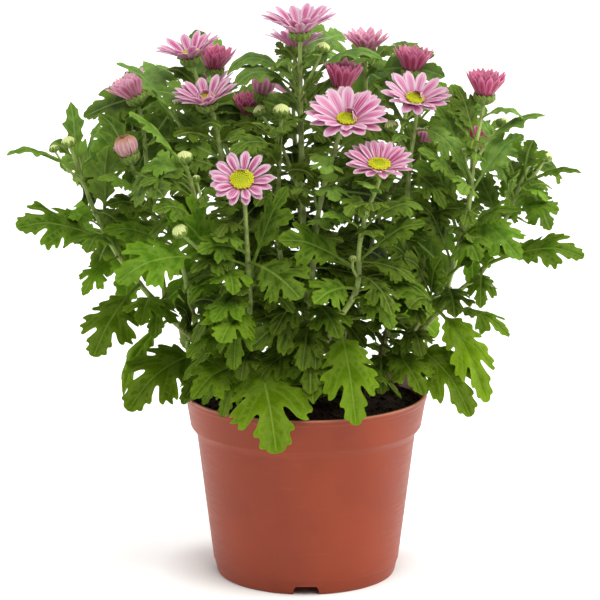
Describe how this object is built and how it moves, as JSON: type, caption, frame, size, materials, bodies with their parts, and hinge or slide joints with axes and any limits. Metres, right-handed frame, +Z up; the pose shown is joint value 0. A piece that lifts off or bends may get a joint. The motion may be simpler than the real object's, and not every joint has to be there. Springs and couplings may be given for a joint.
{
  "type": "potted chrysanthemum",
  "caption": "Pot chrysanthemum with pink daisy-like blooms, buds and lobed leaves on branching stems, growing in soil in a terracotta-coloured nursery pot",
  "frame": {"origin": "centre of the pot's foot, on the surface it stands on", "axes": "+Z up, -Y the side the picture shows, +X to the right in the picture"},
  "size_m": [0.277, 0.2015, 0.2828],
  "materials": {
    "terracotta_plastic": "moulded, satin",
    "peat": "loose, matt",
    "leaf_green": "waxy leaf, satin",
    "petal_pink": "velvety petal, matt",
    "petal_magenta": "velvety petal, matt",
    "disc_yellow": "fine florets, matt"
  },
  "bodies": {
    "root": {"bloom_back_mid_rays": "petal_magenta", "bloom_behind_top_disc": "disc_yellow", "bloom_behind_top_rays": "petal_pink", "bloom_far_left_rays": "petal_magenta", "bloom_far_right_rays": "petal_magenta", "bloom_front_disc": "disc_yellow", "bloom_front_low_disc": "disc_yellow", "bloom_front_low_rays": "petal_pink", "bloom_front_rays": "petal_pink", "bloom_front_right_disc": "disc_yellow", "bloom_front_right_rays": "petal_pink", "bloom_inner_rays": "petal_magenta", "bloom_left_back_rays": "petal_magenta", "bloom_left_disc": "disc_yellow", "bloom_left_high_disc": "disc_yellow", "bloom_left_high_rays": "petal_pink", "bloom_left_rays": "petal_pink", "bloom_mid_rays": "petal_magenta", "bloom_narrow_rays": "petal_magenta", "bloom_opening_left_rays": "petal_magenta", "bloom_opening_right_rays": "petal_magenta", "bloom_rear_disc": "disc_yellow", "bloom_rear_left_disc": "disc_yellow", "bloom_rear_left_rays": "petal_pink", "bloom_rear_rays": "petal_pink", "bloom_rear_right_disc": "disc_yellow", "bloom_rear_right_rays": "petal_pink", "bloom_right_back_rays": "petal_magenta", "bloom_right_disc": "disc_yellow", "bloom_right_rays": "petal_pink", "bloom_side_left_disc": "disc_yellow", "bloom_side_left_rays": "petal_pink", "bloom_side_right_rays": "petal_magenta", "bloom_top_disc": "disc_yellow", "bloom_top_rays": "petal_pink", "pot": "terracotta_plastic", "soil": "peat", "stem_back_left": "leaf_green", "stem_back_right": "leaf_green", "stem_centre": "leaf_green", "stem_front_left": "leaf_green", "stem_front_right": "leaf_green", "stem_left": "leaf_green", "stem_right": "leaf_green"}
  },
  "joints": []
}
